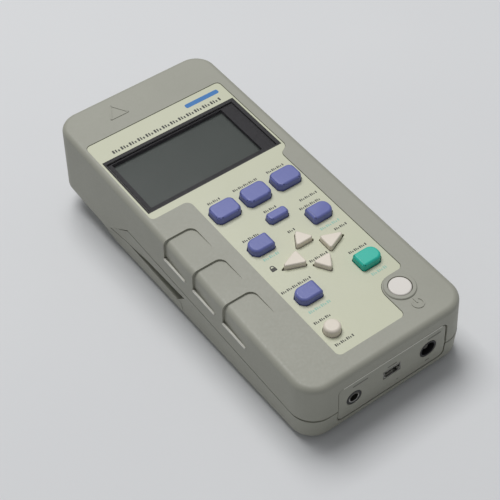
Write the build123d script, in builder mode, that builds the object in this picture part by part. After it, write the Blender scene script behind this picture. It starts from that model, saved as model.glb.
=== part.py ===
"""Hand-held optical power meter with a sloping face, keypad, end sockets and a tilt stand.

The meter stands on the table: +Z is up, +Y runs towards the display end and +X to the right.
The face lies on the tilted plane called deck. Depths are measured square to it, downwards.
"""

import os
from math import cos, radians, sin, sqrt, tan

from build123d import *

os.makedirs("parts", exist_ok=True)

# Case
case_width = 73.6
case_length = 171.8
corner_radius = 9.5
top_edge_radius = 2.5
side_draft = 2.5
wall = 2.2
near_end_wall = 4.6
face_rise = 0.3
deck_tilt = 4.4
deck_height = 36.5
split_depth = 17.2
skirt_depth = 30.5
jog_near_y = 31.0
jog_far_y = 48.6
seam_step = 0.15
seam_gap = 0.9
seam_groove_depth = 0.7
foot_height = 0.8
bottom_chamfer = 2.4
slope_start_y = 48.0
slope_end_y = 72.0
slope_rise = 9.6
slope_start_radius = 30.0
slope_end_radius = 16.0

# Finger grips along the left edge
grip_count = 3
grip_pitch = 19.4
grip_far_y = 3.6
grip_length = 15.2
grip_inner_x = -23.4
grip_ledge_depth = 9.0
grip_corner_radius = 3.2
grip_turn = 4.6
grip_backing = 3.0

# Face panel and display
panel_thickness = 0.8
panel_gap = 0.15
panel_left_x = -34.2
panel_right_x = 31.2
panel_far_y = 64.8
panel_shoulder_y = 15.4
panel_right_step_y = 17.0
panel_right_shoulder = 2.6
panel_lower_left_x = -17.0
panel_lower_right_x = 26.9
panel_near_y = -77.6
panel_corner_radius = 2.0
panel_inner_radius = 3.0
collar_margin = 0.6
window_left_x = -33.4
window_right_x = 30.4
window_near_y = 19.0
window_far_y = 53.2
window_ledge = 1.2
bezel_gap = 0.2
screen_left_x = -30.4
screen_right_x = 22.8
screen_near_y = 21.8
screen_far_y = 50.8
screen_depth = 2.4
lcd_margin = 2.4

# Keypad
top_wall_depth = 2.2
key_clearance = 0.25
key_flange = 0.5
key_flange_thickness = 1.2
key_seat_gap = 0.1
key_travel = 1.0
key_stop_gap = 0.2
cap_chamfer = 0.7
fine_chamfer = 0.35
block_key_width = 11.4
block_key_length = 8.6
block_key_radius = 2.5
block_key_pitch = 14.45
block_key_first_x = -9.6
block_key_y = 1.7
block_key_height = 3.2
bar_key_width = 9.0
bar_key_length = 4.4
bar_key_radius = 1.6
bar_key_x = 5.1
bar_key_y = -12.1
bar_key_height = 2.7
dee_key_width = 9.6
dee_key_length = 7.2
dee_key_corner = 1.0
dee_key_round = 3.2
dee_left_x = -9.2
dee_right_x = 18.9
dee_far_y = -20.6
dee_near_y = -49.6
dee_key_height = 3.1
pad_x = 5.1
pad_y = -34.5
arrow_corner = 0.8
arrow_height = 2.3
tall_arrow_base = 8.4
tall_arrow_reach = 6.7
tall_arrow_inner = 4.8
wide_arrow_base = 7.6
wide_arrow_reach = 9.2
wide_arrow_inner = 5.5
button_radius = 3.25
button_x = -11.8
button_y = -67.2
button_height = 3.2
power_radius = 4.4
power_x = 19.9
power_y = -66.7
power_height = 0.9
collar_radius = 6.2
collar_height = 0.5
collar_chamfer = 0.3

# Boards behind the face
board_thickness = 1.6
membrane_thickness = 0.6
membrane_left_x = -16.2
membrane_right_x = 25.6
membrane_near_y = -73.0
membrane_far_y = 9.0
board_left_x = -20.0
board_right_x = 26.0
board_end_gap = 2.3
board_upper_y = 14.0
board_side_gap = 1.6
board_far_y = 59.5
board_post_width = 3.0
board_post_left_x = -18.0
board_post_right_x = 23.5
board_post_far_y = 11.2
board_post_inset = 3.0

# Near end sockets
plate_width = 49.6
plate_height = 18.4
plate_thickness = 1.2
plate_inset = 0.1
plate_radius = 2.4
plate_chamfer = 0.3
plate_gap = 0.3
plate_ledge = 1.6
plate_x = 1.2
plate_depth = 15.3
socket_gap = 0.15
phone_x = -16.8
phone_depth = 14.8
phone_nose_radius = 3.3
phone_sleeve_radius = 2.5
phone_bore_radius = 1.8
phone_length = 13.0
phone_body_width = 8.4
usb_x = 0.5
usb_depth = 13.4
usb_width = 7.8
usb_height = 4.0
usb_wall = 0.35
usb_chamfer = 0.8
usb_length = 9.2
usb_mouth_length = 7.5
usb_tongue_width = 4.6
usb_tongue_thickness = 1.1
usb_tongue_length = 5.8
dc_x = 17.5
dc_depth = 14.1
dc_bore_radius = 3.1
dc_nose_radius = 3.8
dc_bore_length = 10.0
dc_pin_radius = 1.0
dc_pin_recess = 1.2
dc_length = 14.0
dc_body_width = 9.4
socket_board_depth = 19.2
socket_board_width = 45.0
socket_board_length = 19.0
socket_post_width = 4.0
socket_post_inset = 4.0

# Optical port in the display end
port_depth = 15.5
port_radius = 9.0
port_recess = 7.5
port_cup_wall = 2.0
adapter_flange_radius = 7.0
adapter_flange_thickness = 1.6
adapter_barrel_radius = 4.0
adapter_barrel_length = 5.4
adapter_tail_radius = 4.9
ferrule_bore_radius = 1.27
photodiode_radius = 4.2
photodiode_length = 5.0
adapter_gap = 0.1

# Lower case pocket and battery box
pocket_half_width = 24.0
pocket_far_y = -14.0
cell_radius = 7.25
cell_length = 49.2
cell_nub_radius = 2.75
cell_nub_length = 1.3
cell_gap = 0.9
cell_lift = 0.15
cell_near_y = 12.6
cell_room = 0.5
contact_thickness = 0.5
contact_size = 11.0
contact_bump_width = 4.5
contact_bump_height = 0.7
contact_gap = 0.25
cover_thickness = 2.0
cover_gap = 0.2
cover_half_width = 27.6
cover_near_lap = 0.8
cover_far_y = 50.0
tongue_reach = 0.9
tongue_thickness = 0.8
thumb_ridge_count = 4
thumb_ridge_pitch = 2.4
thumb_ridge_width = 1.0
thumb_ridge_depth = 0.5
thumb_ridge_length = 16.0
thumb_ridge_far_y = 40.0

# Tilt stand
arm_thickness = 3.2
stand_gap = 0.35
stand_lift = 0.6
pivot_y = 52.0
pivot_height = 5.8
pivot_end_radius = 2.6
trunnion_radius = 1.5
trunnion_length = 2.6
trunnion_gap = 0.15
arm_tip_y = -5.0
arm_tip_length = 8.0
arm_tip_height = 7.0
arm_crown_y = 33.0
arm_crown_height = 10.6
arm_heel_y = 44.0
arm_turn_radius = 1.0
crossbar_width = 6.6
crossbar_height = 5.0
crossbar_gap = 0.5
notch_far_y = 33.8
notch_far_depth = 27.6
notch_mid_y = 18.0
notch_mid_depth = 24.1
notch_near_y = -8.8
notch_near_depth = 21.4
notch_root_y = -1.8
notch_low_depth = 29.2
notch_reach = 4.0

# Feet and screw wells
foot_width = 3.4
foot_length = 12.0
near_foot_x = 21.0
near_foot_y = -68.0
far_foot_x = 30.9
far_foot_y = 34.0
well_radius = 2.8
well_near_x = 28.2
well_near_y = -72.0
well_near_depth = 24.0
well_far_x = 29.6
well_far_y = 66.0
well_far_depth = 31.8

# Places that follow from the sizes
tilt = radians(deck_tilt)
draft = tan(radians(side_draft))
half_width = case_width / 2
half_length = case_length / 2


def grow(depth):
    """Outward lean of the upper case's walls at a depth below the panel."""
    return draft * (depth + face_rise)


far_reach = (half_length + grow(skirt_depth)) * cos(tilt) + skirt_depth * sin(tilt)
near_reach = (half_length + grow(top_edge_radius)) * cos(tilt) - top_edge_radius * sin(tilt)
deck_shift = (near_reach - far_reach) / 2
deck = Plane(origin=(0, deck_shift, deck_height), x_dir=(1, 0, 0), z_dir=(0, -sin(tilt), cos(tilt)))
deck_up = Axis(deck.origin, deck.z_dir)
window_centre = ((window_left_x + window_right_x) / 2, (window_near_y + window_far_y) / 2)
window_width = window_right_x - window_left_x
window_length = window_far_y - window_near_y
screen_centre = ((screen_left_x + screen_right_x) / 2, (screen_near_y + screen_far_y) / 2)
screen_width = screen_right_x - screen_left_x
screen_length = screen_far_y - screen_near_y
flange_depth = top_wall_depth + key_seat_gap
board_top_depth = flange_depth + key_flange_thickness + key_travel + key_stop_gap + membrane_thickness
board_near_y = -(half_length - near_end_wall - board_end_gap)
board_upper_half_width = half_width - wall - board_side_gap
plate_front_y = -(half_length + grow(plate_depth) - plate_inset)
socket_back_y = plate_front_y + plate_thickness + socket_gap
port_face_y = half_length + grow(port_depth)
port_floor_y = port_face_y - port_recess
seam_half_width = half_width + grow(split_depth) - seam_step
seam_half_length = half_length + grow(split_depth) - seam_step
arm_inner_x = seam_half_width - arm_thickness
near_wells = [(-well_near_x, well_near_y), (well_near_x, well_near_y)]
far_wells = [(-well_far_x, well_far_y), (well_far_x, well_far_y)]
cell_pitch = 2 * cell_radius + cell_gap
cell_places = [cell_near_y, cell_near_y + cell_pitch]
cell_height = foot_height + cover_thickness + cell_lift + cell_radius
cell_half_span = (cell_length + cell_nub_length) / 2
box_half_width = cell_half_span + contact_gap + contact_bump_height + contact_thickness
box_near_y = cell_places[0] - cell_radius - cell_room
box_far_y = cell_places[1] + cell_radius + cell_room
box_top = cell_height + cell_radius + cell_room
cover_near_y = box_near_y - cover_near_lap


def level(depth):
    """Plane parallel to the face, at a depth below the panel."""
    return deck.offset(-depth)


def facing(x, y, depth):
    """Plane square to the case's length, facing the near end, with y along the face's normal."""
    return Plane(origin=deck.from_local_coords((x, y, -depth)), x_dir=deck.x_dir, z_dir=-deck.y_dir)


def along(x):
    """Plane square to the case's width, with x towards the display end and y along the normal."""
    return Plane(origin=deck.from_local_coords((x, 0, 0)), x_dir=deck.y_dir, z_dir=deck.x_dir)


def key_plane(place, turn, depth):
    """Plane parallel to the face with its origin on a key and its x axis turned with the key."""
    heading = deck.x_dir * cos(radians(turn)) + deck.y_dir * sin(radians(turn))
    return Plane(origin=deck.from_local_coords((*place, -depth)), x_dir=heading, z_dir=deck.z_dir)


def below(depth):
    """Plane parallel to the face and looking down, at a depth below the panel."""
    return Plane(origin=level(depth).origin, x_dir=deck.x_dir, z_dir=-deck.z_dir)


def panel_outline():
    """Cream panel: wide round the display, narrower beside the grips, cut away at the power key."""
    notch_x = power_x - collar_radius - collar_margin
    notch_y = power_y + collar_radius + collar_margin
    with BuildLine() as line:
        FilletPolyline(
            (panel_left_x, panel_far_y),
            (panel_right_x, panel_far_y),
            (panel_right_x, panel_right_step_y),
            (panel_lower_right_x, panel_right_step_y - panel_right_shoulder),
            (panel_lower_right_x, notch_y),
            (notch_x, notch_y),
            (notch_x, panel_near_y),
            (panel_lower_left_x, panel_near_y),
            (panel_lower_left_x, panel_shoulder_y),
            (panel_left_x, panel_shoulder_y),
            radius=[
                panel_corner_radius,
                panel_corner_radius,
                panel_inner_radius,
                panel_inner_radius,
                panel_corner_radius,
                collar_radius + collar_margin,
                panel_corner_radius,
                panel_corner_radius,
                panel_inner_radius,
                panel_corner_radius,
            ],
            close=True,
        )
    make_face(line.edges())


def block_outline():
    """Large key with well rounded corners."""
    RectangleRounded(block_key_width, block_key_length, block_key_radius)


def bar_outline():
    """Small key."""
    RectangleRounded(bar_key_width, bar_key_length, bar_key_radius)


def dee_outline():
    """Key with squarer corners on its left and round corners on its right."""
    left = -dee_key_width / 2
    near = -dee_key_length / 2
    with BuildLine() as line:
        FilletPolyline(
            (left, near),
            (-left, near),
            (-left, -near),
            (left, -near),
            radius=[dee_key_corner, dee_key_round, dee_key_round, dee_key_corner],
            close=True,
        )
    make_face(line.edges())


def arrow_outline(reach, base):
    """Triangle pointing along x, with the middle of its height at the origin."""
    back = -reach / 2
    with BuildLine() as line:
        FilletPolyline((back, -base / 2), (-back, 0), (back, base / 2), radius=arrow_corner, close=True)
    make_face(line.edges())


def tall_arrow_outline():
    """Arrow key of the far and near sides of the cursor pad."""
    arrow_outline(tall_arrow_reach, tall_arrow_base)


def wide_arrow_outline():
    """Arrow key of the left and right sides of the cursor pad."""
    arrow_outline(wide_arrow_reach, wide_arrow_base)


def button_outline():
    """Small round key."""
    Circle(button_radius)


def power_outline():
    """Round power key."""
    Circle(power_radius)


def flat(radius):
    """Length of the corner cut that just clears a key's round corner."""
    return (2 - sqrt(2)) * (radius + key_clearance)


def block_opening():
    """Panel opening round a large key, with its corners cut straight."""
    sides = Rectangle(block_key_width + 2 * key_clearance, block_key_length + 2 * key_clearance)
    chamfer(sides.vertices(), flat(block_key_radius))


def bar_opening():
    """Panel opening round the small key."""
    sides = Rectangle(bar_key_width + 2 * key_clearance, bar_key_length + 2 * key_clearance)
    chamfer(sides.vertices(), flat(bar_key_radius))


def dee_opening():
    """Panel opening round a key with one round side."""
    sides = Rectangle(dee_key_width + 2 * key_clearance, dee_key_length + 2 * key_clearance)
    corners = sides.vertices().sort_by(Axis.X)
    chamfer(corners[2:], flat(dee_key_round))
    chamfer(corners[:2], flat(dee_key_corner))


def arrow_opening(reach, base):
    """Panel opening round an arrow key, with its points cut straight."""
    back = -reach / 2
    with BuildLine() as line:
        Polyline((back, -base / 2), (-back, 0), (back, base / 2), close=True)
    make_face(line.edges())
    sides = offset(amount=key_clearance, kind=Kind.INTERSECTION)
    chamfer(sides.vertices(), arrow_corner)


def tall_arrow_opening():
    """Panel opening of the far and near arrow keys."""
    arrow_opening(tall_arrow_reach, tall_arrow_base)


def wide_arrow_opening():
    """Panel opening of the left and right arrow keys."""
    arrow_opening(wide_arrow_reach, wide_arrow_base)


def button_opening():
    """Panel opening round the small round key."""
    Circle(button_radius + key_clearance)


# Kinds of key: outline, panel opening, outer size, height above the panel, chamfer of the cap
block = (block_outline, block_opening, (block_key_width, block_key_length), block_key_height, cap_chamfer)
bar = (bar_outline, bar_opening, (bar_key_width, bar_key_length), bar_key_height, cap_chamfer)
dee = (dee_outline, dee_opening, (dee_key_width, dee_key_length), dee_key_height, cap_chamfer)
tall_size = (tall_arrow_reach, tall_arrow_base)
wide_size = (wide_arrow_reach, wide_arrow_base)
tall = (tall_arrow_outline, tall_arrow_opening, tall_size, arrow_height, fine_chamfer)
wide = (wide_arrow_outline, wide_arrow_opening, wide_size, arrow_height, fine_chamfer)
button = (button_outline, button_opening, (2 * button_radius, 2 * button_radius), button_height, cap_chamfer)
power = (power_outline, power_outline, (2 * power_radius, 2 * power_radius), power_height, fine_chamfer)

# Each key: name, kind, place on the face, turn
block_places = [(block_key_first_x + step * block_key_pitch, block_key_y) for step in range(3)]
tall_arrow_y = tall_arrow_inner + tall_arrow_reach / 2
wide_arrow_x = wide_arrow_inner + wide_arrow_reach / 2
panel_keys = [
    ("key_first", block, block_places[0], 0),
    ("key_second", block, block_places[1], 0),
    ("key_third", block, block_places[2], 0),
    ("key_bar", bar, (bar_key_x, bar_key_y), 0),
    ("key_left_far", dee, (dee_left_x, dee_far_y), 180),
    ("key_right_far", dee, (dee_right_x, dee_far_y), 0),
    ("key_left_near", dee, (dee_left_x, dee_near_y), 180),
    ("key_right_near", dee, (dee_right_x, dee_near_y), 0),
    ("arrow_up", tall, (pad_x, pad_y + tall_arrow_y), 90),
    ("arrow_down", tall, (pad_x, pad_y - tall_arrow_y), 270),
    ("arrow_left", wide, (pad_x - wide_arrow_x, pad_y), 180),
    ("arrow_right", wide, (pad_x + wide_arrow_x, pad_y), 0),
    ("key_round", button, (button_x, button_y), 0),
]
power_key = ("power_key", power, (power_x, power_y), 0)

# Outer form of the upper case, with leaning walls and a rounded rim
with BuildPart() as upper_hull:
    with BuildSketch(below(-face_rise)):
        RectangleRounded(case_width, case_length, corner_radius)
    extrude(amount=skirt_depth + face_rise, taper=-side_draft)
    fillet(upper_hull.faces().sort_by(deck_up)[-1].edges(), top_edge_radius)

# Everything below the parting line, which drops at the display end
with BuildPart() as lower_zone:
    with BuildSketch(along(0)):
        with BuildLine():
            Polyline(
                (-case_length, -split_depth),
                (jog_near_y, -split_depth),
                (jog_far_y, -skirt_depth),
                (case_length, -skirt_depth),
                (case_length, -case_length),
                (-case_length, -case_length),
                close=True,
            )
        make_face()
    extrude(amount=case_width, both=True)

# Outer form of the lower case, closed below by the flat bottom and the rising far end
with BuildPart() as lower_hull:
    with BuildSketch(below(split_depth)):
        RectangleRounded(2 * seam_half_width, 2 * seam_half_length, corner_radius)
    extrude(amount=deck_height + half_length * sin(tilt) - split_depth, taper=side_draft)
    with BuildSketch(Plane.YZ):
        with BuildLine():
            FilletPolyline(
                (-case_length, foot_height),
                (slope_start_y, foot_height),
                (slope_end_y, foot_height + slope_rise),
                (slope_end_y + half_length, foot_height + slope_rise + half_length * tan(tilt)),
                (slope_end_y + half_length, -case_length),
                (-case_length, -case_length),
                radius=[0, slope_start_radius, slope_end_radius, 0, 0, 0],
                close=True,
            )
        make_face()
    extrude(amount=case_width, both=True, mode=Mode.SUBTRACT)
    bottom = lower_hull.faces().filter_by(Axis.Z).sort_by(Axis.Z)[0]
    bottom_rim = [edge for edge in bottom.edges() if edge.center().Y < slope_start_y / 2]
    chamfer(bottom_rim, bottom_chamfer)

# Groove that the parting line shows round the case
with BuildPart() as seam_groove:
    add(lower_zone.part)
    add(lower_zone.part.moved(Location(-seam_gap * deck.z_dir)), mode=Mode.SUBTRACT)
    with BuildSketch(below(split_depth)):
        RectangleRounded(
            2 * (seam_half_width - seam_groove_depth),
            2 * (seam_half_length - seam_groove_depth),
            corner_radius - seam_groove_depth,
        )
    extrude(amount=case_length, taper=side_draft, mode=Mode.SUBTRACT)

# Finger grips: wedges left over where a turned copy of the outer form dips below the real one
scoops = []
for grip in range(grip_count):
    scoop_y = grip_far_y - grip * grip_pitch
    heel = deck.from_local_coords((-half_width, scoop_y - grip_length, 0))
    with BuildPart() as scoop:
        with BuildSketch(level(grip_ledge_depth)):
            with Locations((grip_inner_x - half_width / 2, scoop_y - grip_length / 2)):
                RectangleRounded(half_width, grip_length, grip_corner_radius)
        extrude(amount=2 * grip_ledge_depth)
        add(upper_hull.part.rotate(Axis(heel, -deck.x_dir - deck.z_dir), grip_turn), mode=Mode.SUBTRACT)
    scoops.append(scoop.part)

# Room inside the upper case, less the backing of the grips, the board posts and the port's cup
with BuildPart() as hollow:
    with BuildSketch(level(top_wall_depth)):
        with Locations((0, (near_end_wall - wall) / 2)):
            RectangleRounded(case_width - 2 * wall, case_length - wall - near_end_wall, corner_radius - wall)
    extrude(amount=-skirt_depth)
    with BuildSketch(level(top_wall_depth)):
        backing_length = (grip_count - 1) * grip_pitch + grip_length + 2 * grip_backing
        with Locations((-half_width, grip_far_y + grip_backing - backing_length / 2)):
            Rectangle(2 * (half_width + grip_inner_x + grip_backing), backing_length)
    extrude(amount=-(grip_ledge_depth + grip_backing - top_wall_depth), mode=Mode.SUBTRACT)
    with BuildSketch(level(top_wall_depth)):
        with Locations(
            (board_post_left_x, board_near_y + board_post_inset),
            (board_post_left_x, board_post_far_y),
            (board_post_right_x, board_post_far_y),
        ):
            Rectangle(board_post_width, board_post_width)
    extrude(amount=-(board_top_depth - top_wall_depth), mode=Mode.SUBTRACT)
    with BuildSketch(facing(0, port_face_y, port_depth)):
        Rectangle(2 * (port_radius + port_cup_wall), 2 * (port_radius + port_cup_wall))
    extrude(amount=port_recess + port_cup_wall, mode=Mode.SUBTRACT)

# Opening in the near end: the recess the connector plate drops into and the passage behind it
with BuildPart() as plate_seat:
    with BuildSketch(facing(plate_x, plate_front_y + plate_thickness, plate_depth)):
        RectangleRounded(plate_width + 2 * plate_gap, plate_height + 2 * plate_gap, plate_radius)
    extrude(amount=case_width)
    with BuildSketch(facing(plate_x, plate_front_y + plate_thickness, plate_depth)):
        RectangleRounded(plate_width - 2 * plate_ledge, plate_height - 2 * plate_ledge, plate_radius)
    extrude(amount=-2 * near_end_wall)

# Upper case: the outer form cut at the parting line, hollowed, with its openings
with BuildPart() as upper_case:
    add(upper_hull.part)
    add(lower_zone.part, mode=Mode.SUBTRACT)
    for scoop_part in scoops:
        add(scoop_part, mode=Mode.SUBTRACT)
    add(hollow.part, mode=Mode.SUBTRACT)
    with BuildSketch(key_plane((power_x, power_y), 0, -face_rise)):
        Circle(collar_radius)
    extrude(amount=collar_height)
    chamfer(upper_case.faces().sort_by(deck_up)[-1].edges(), collar_chamfer)
    with BuildSketch(level(panel_thickness)):
        panel_outline()
        offset(amount=panel_gap)
    extrude(amount=2 * panel_thickness, mode=Mode.SUBTRACT)
    with BuildSketch(level(2 * top_wall_depth)):
        with Locations(window_centre):
            Rectangle(window_width - 2 * window_ledge, window_length - 2 * window_ledge)
    extrude(amount=2 * top_wall_depth, mode=Mode.SUBTRACT)
    for name, (outline, opening, size, height, edge), place, turn in panel_keys:
        with BuildSketch(key_plane(place, turn, top_wall_depth)):
            Rectangle(size[0] + 2 * key_clearance, size[1] + 2 * key_clearance)
        extrude(amount=top_wall_depth, mode=Mode.SUBTRACT)
    with BuildSketch(key_plane((power_x, power_y), 0, top_wall_depth)):
        Circle(power_radius + key_clearance)
    extrude(amount=2 * top_wall_depth, mode=Mode.SUBTRACT)
    add(plate_seat.part, mode=Mode.SUBTRACT)
    with BuildSketch(facing(0, port_floor_y, port_depth)):
        Circle(port_radius)
    extrude(amount=-2 * port_recess, mode=Mode.SUBTRACT)
    with BuildSketch(facing(0, port_floor_y, port_depth)):
        Circle(adapter_tail_radius + adapter_gap)
    extrude(amount=2 * port_cup_wall, mode=Mode.SUBTRACT)
upper_case.part.label = "upper_case"
export_step(upper_case.part, "parts/upper_case.step")

# Tilt stand: two arms in the sides of the lower case joined by a crossbar underneath
arm_low = foot_height + stand_lift
with BuildPart() as tilt_stand:
    with BuildSketch(Plane.YZ.offset(arm_inner_x)):
        with Locations((arm_tip_y + arm_tip_length / 2, arm_low + arm_tip_height / 2)):
            RectangleRounded(arm_tip_length, arm_tip_height, arm_turn_radius)
        with Locations((arm_crown_y, arm_crown_height), (arm_heel_y, arm_low + arm_turn_radius)):
            Circle(arm_turn_radius)
        with Locations((pivot_y, pivot_height)):
            Circle(pivot_end_radius)
        make_hull()
    extrude(amount=2 * arm_thickness)
    mirror(about=Plane.YZ)
    add(lower_hull.part, mode=Mode.INTERSECT)
    with BuildSketch(Plane.XY.offset(arm_low)):
        with Locations((0, arm_tip_y + crossbar_width / 2)):
            Rectangle(2 * arm_inner_x, crossbar_width)
    extrude(amount=crossbar_height)
    with BuildSketch(Plane.YZ.offset(arm_inner_x - trunnion_length)):
        with Locations((pivot_y, pivot_height)):
            Circle(trunnion_radius)
    extrude(amount=trunnion_length)
    mirror(tilt_stand.part, about=Plane.YZ)
tilt_stand.part.label = "tilt_stand"
export_step(tilt_stand.part, "parts/tilt_stand.step")

# Room for the stand: slots for the arms, a channel for the crossbar, the pivot holes and finger notches
with BuildPart() as stand_room:
    with BuildSketch(Plane.YZ.offset(arm_inner_x - stand_gap)):
        with Locations((arm_tip_y + arm_tip_length / 2, arm_low + arm_tip_height / 2)):
            RectangleRounded(
                arm_tip_length + 2 * stand_gap, arm_tip_height + 2 * stand_gap, arm_turn_radius + stand_gap
            )
        with Locations((arm_tip_y + arm_tip_length / 2, -arm_tip_height)):
            Rectangle(arm_tip_length + 2 * stand_gap, arm_tip_height)
        with Locations((arm_crown_y, arm_crown_height), (arm_heel_y, arm_low + arm_turn_radius)):
            Circle(arm_turn_radius + stand_gap)
        with Locations((pivot_y, pivot_height)):
            Circle(pivot_end_radius + stand_gap)
        with Locations((pivot_y + pivot_end_radius + stand_gap - arm_turn_radius, -arm_tip_height)):
            Circle(arm_turn_radius)
        make_hull()
    extrude(amount=2 * arm_thickness)
    with BuildSketch(along(arm_inner_x - notch_reach)):
        with BuildLine():
            Polyline(
                (notch_far_y, -notch_low_depth),
                (notch_far_y, -notch_far_depth),
                (notch_mid_y, -notch_mid_depth),
                (notch_near_y, -notch_near_depth),
                (notch_root_y, -notch_low_depth),
                close=True,
            )
        make_face()
    extrude(amount=2 * arm_thickness + notch_reach)
    with BuildSketch(Plane.YZ.offset(arm_inner_x - trunnion_length - stand_gap)):
        with Locations((pivot_y, pivot_height)):
            Circle(trunnion_radius + trunnion_gap)
    extrude(amount=trunnion_length + stand_gap)
    mirror(stand_room.part, about=Plane.YZ)
    with BuildSketch(Plane.XY.offset(arm_low + crossbar_height + crossbar_gap)):
        with Locations((0, arm_tip_y + crossbar_width / 2)):
            Rectangle(2 * arm_inner_x, crossbar_width + 2 * crossbar_gap)
    extrude(amount=-2 * (crossbar_height + crossbar_gap))

# Battery cover: a sliding plate with side tongues, its far end following the slope
with BuildPart() as battery_cover:
    with BuildSketch(Plane.XY.offset(foot_height)):
        with Locations((0, (cover_near_y + cover_far_y) / 2)):
            Rectangle(2 * cover_half_width, cover_far_y - cover_near_y)
    extrude(amount=cover_thickness)
    with BuildSketch(Plane.XY.offset(foot_height + (cover_thickness - tongue_thickness) / 2)):
        with Locations((0, (cover_near_y + slope_start_y - slope_rise) / 2)):
            Rectangle(2 * (cover_half_width + tongue_reach), slope_start_y - slope_rise - cover_near_y)
    extrude(amount=tongue_thickness)
    add(lower_hull.part, mode=Mode.INTERSECT)
    with BuildSketch(Plane.XY.offset(foot_height)):
        for ridge in range(thumb_ridge_count):
            with Locations((0, thumb_ridge_far_y - ridge * thumb_ridge_pitch)):
                Rectangle(thumb_ridge_length, thumb_ridge_width)
    extrude(amount=thumb_ridge_depth, mode=Mode.SUBTRACT)
battery_cover.part.label = "battery_cover"
export_step(battery_cover.part, "parts/battery_cover.step")

# Lower case: the outer form below the parting line, with its pockets, slots and socket posts
post_foot_depth = (deck_height + socket_back_y * sin(tilt) - foot_height - wall / 2) / cos(tilt)
with BuildPart() as lower_case:
    add(lower_hull.part)
    add(lower_zone.part, mode=Mode.INTERSECT)
    add(seam_groove.part, mode=Mode.SUBTRACT)
    with BuildSketch(Plane.XY.offset(foot_height + wall)):
        pocket_near_y = deck_shift - (half_length - near_end_wall) * cos(tilt)
        with Locations((0, (pocket_near_y + pocket_far_y) / 2)):
            RectangleRounded(2 * pocket_half_width, pocket_far_y - pocket_near_y, wall)
    extrude(amount=deck_height, mode=Mode.SUBTRACT)
    with BuildSketch(level(socket_board_depth + board_thickness)):
        post_span_x = socket_board_width - 2 * socket_post_inset
        post_span_y = socket_board_length - 2 * socket_post_inset
        with Locations((plate_x, socket_back_y + socket_board_length / 2)):
            with GridLocations(post_span_x, post_span_y, 2, 2):
                Rectangle(socket_post_width, socket_post_width)
    extrude(amount=-(post_foot_depth - socket_board_depth - board_thickness))
    add(plate_seat.part, mode=Mode.SUBTRACT)
    with BuildSketch(Plane.XY):
        with Locations((0, (box_near_y + box_far_y) / 2)):
            Rectangle(2 * box_half_width, box_far_y - box_near_y)
    extrude(amount=box_top, mode=Mode.SUBTRACT)
    with BuildSketch(Plane.XY):
        with Locations((0, cover_near_y - cover_gap + half_length / 2)):
            Rectangle(2 * (cover_half_width + cover_gap), half_length)
    extrude(amount=foot_height + cover_thickness, mode=Mode.SUBTRACT)
    with BuildSketch(Plane.XY.offset(foot_height + (cover_thickness - tongue_thickness) / 2 - cover_gap)):
        with Locations((0, cover_near_y - cover_gap + half_length / 2)):
            Rectangle(2 * (cover_half_width + tongue_reach + cover_gap), half_length)
    extrude(amount=tongue_thickness + 2 * cover_gap, mode=Mode.SUBTRACT)
    add(stand_room.part, mode=Mode.SUBTRACT)
    for depth, places in ((well_near_depth, near_wells), (well_far_depth, far_wells)):
        with BuildSketch(level(depth)):
            with Locations(places):
                Circle(well_radius)
        extrude(amount=-skirt_depth, mode=Mode.SUBTRACT)
lower_case.part.label = "lower_case"
export_step(lower_case.part, "parts/lower_case.step")

# Cream panel with the window and key openings
with BuildPart() as front_panel:
    with BuildSketch(level(panel_thickness)):
        panel_outline()
        with Locations(window_centre):
            Rectangle(window_width, window_length, mode=Mode.SUBTRACT)
    extrude(amount=panel_thickness)
    for name, (outline, opening, size, height, edge), place, turn in panel_keys:
        with BuildSketch(key_plane(place, turn, panel_thickness)):
            opening()
        extrude(amount=panel_thickness, mode=Mode.SUBTRACT)
front_panel.part.label = "front_panel"
export_step(front_panel.part, "parts/front_panel.step")

# Clear display window, level with the panel and seated on the ledge of the case
with BuildPart() as display_window:
    with BuildSketch(level(panel_thickness)):
        with Locations(window_centre):
            Rectangle(window_width - 2 * panel_gap, window_length - 2 * panel_gap)
    extrude(amount=panel_thickness)
display_window.part.label = "display_window"
export_step(display_window.part, "parts/display_window.step")

# Black frame between the window and the display
with BuildPart() as lcd_bezel:
    with BuildSketch(level(screen_depth)):
        bezel_inset = window_ledge + bezel_gap
        with Locations(window_centre):
            Rectangle(window_width - 2 * bezel_inset, window_length - 2 * bezel_inset)
        with Locations(screen_centre):
            Rectangle(screen_width, screen_length, mode=Mode.SUBTRACT)
    extrude(amount=screen_depth - panel_thickness)
lcd_bezel.part.label = "lcd_bezel"
export_step(lcd_bezel.part, "parts/lcd_bezel.step")

# Display glass with its backlight, standing on the main board
with BuildPart() as lcd_module:
    with BuildSketch(level(board_top_depth)):
        with Locations(screen_centre):
            Rectangle(screen_width + 2 * lcd_margin, screen_length + 2 * lcd_margin)
    extrude(amount=board_top_depth - screen_depth)
lcd_module.part.label = "lcd_module"
export_step(lcd_module.part, "parts/lcd_module.step")

# Switch membrane under the keys
with BuildPart() as keypad_membrane:
    with BuildSketch(level(board_top_depth)):
        with Locations(((membrane_left_x + membrane_right_x) / 2, (membrane_near_y + membrane_far_y) / 2)):
            Rectangle(membrane_right_x - membrane_left_x, membrane_far_y - membrane_near_y)
    extrude(amount=membrane_thickness)
keypad_membrane.part.label = "keypad_membrane"
export_step(keypad_membrane.part, "parts/keypad_membrane.step")

# Main circuit board, wide behind the display and narrow beside the grips
with BuildPart() as main_board:
    with BuildSketch(level(board_top_depth)):
        with Locations(((board_left_x + board_right_x) / 2, (board_near_y + board_upper_y) / 2)):
            Rectangle(board_right_x - board_left_x, board_upper_y - board_near_y)
        with Locations((0, (board_upper_y + board_far_y) / 2)):
            Rectangle(2 * board_upper_half_width, board_far_y - board_upper_y)
    extrude(amount=-board_thickness)
main_board.part.label = "main_board"
export_step(main_board.part, "parts/main_board.step")

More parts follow.
